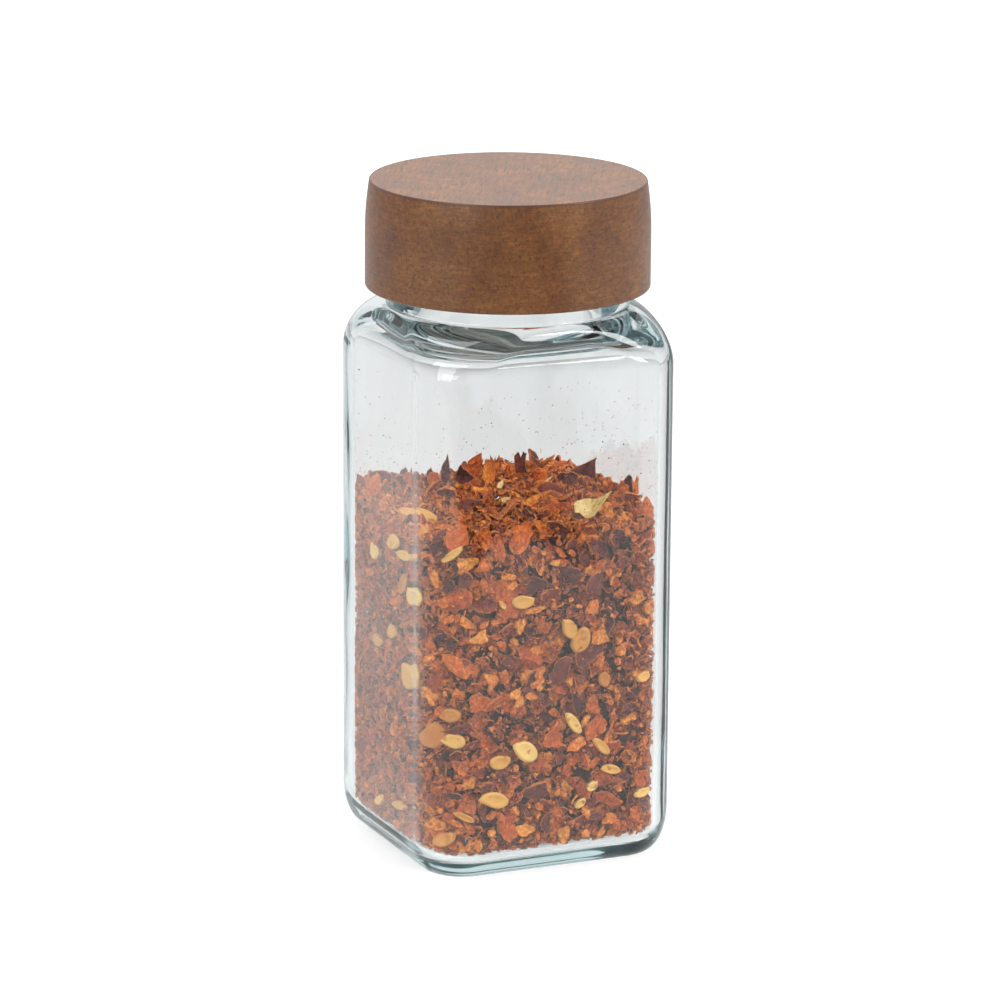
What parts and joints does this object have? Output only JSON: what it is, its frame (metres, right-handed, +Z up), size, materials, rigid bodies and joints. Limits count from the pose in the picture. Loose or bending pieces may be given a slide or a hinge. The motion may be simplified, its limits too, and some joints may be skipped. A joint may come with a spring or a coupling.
{
  "type": "spice jar",
  "caption": "Square glass spice jar with a rounded shoulder, a round screw neck and a turned wooden screw cap, partly filled with chilli flakes.",
  "frame": {"origin": "centre of the jar's base, on the surface that it stands on", "axes": "+Z up along the jar's height and the neck's axis, X and Y square to its four glass faces; the front is the face towards -Y"},
  "size_m": [0.0462, 0.0462, 0.1106],
  "materials": {
    "clear_glass": "gloss",
    "dried_chilli": "matte",
    "liner_foam": "matte",
    "insert_plastic": "satin",
    "stained_wood": "satin"
  },
  "bodies": {
    "jar": {"glass_jar": "clear_glass", "chilli_flakes": "dried_chilli"},
    "seal": {"seal_liner": "liner_foam"},
    "lid": {"cap_insert": "insert_plastic", "wooden_cap": "stained_wood"}
  },
  "joints": [
    {"name": "lid_rise", "type": "slide", "parent": "jar", "child": "seal", "axis": [0, 0, 1], "range_m": [0, 0.0212]},
    {"name": "lid_turn", "type": "hinge", "parent": "seal", "child": "lid", "pos_m": [0, 0, 0.1042], "axis": [0, 0, 1], "range_deg": [0, 1800]}
  ],
  "couplings": [
    {"joint": "lid_rise", "follows": "lid_turn", "m_per_rad": 0.00067376}
  ]
}
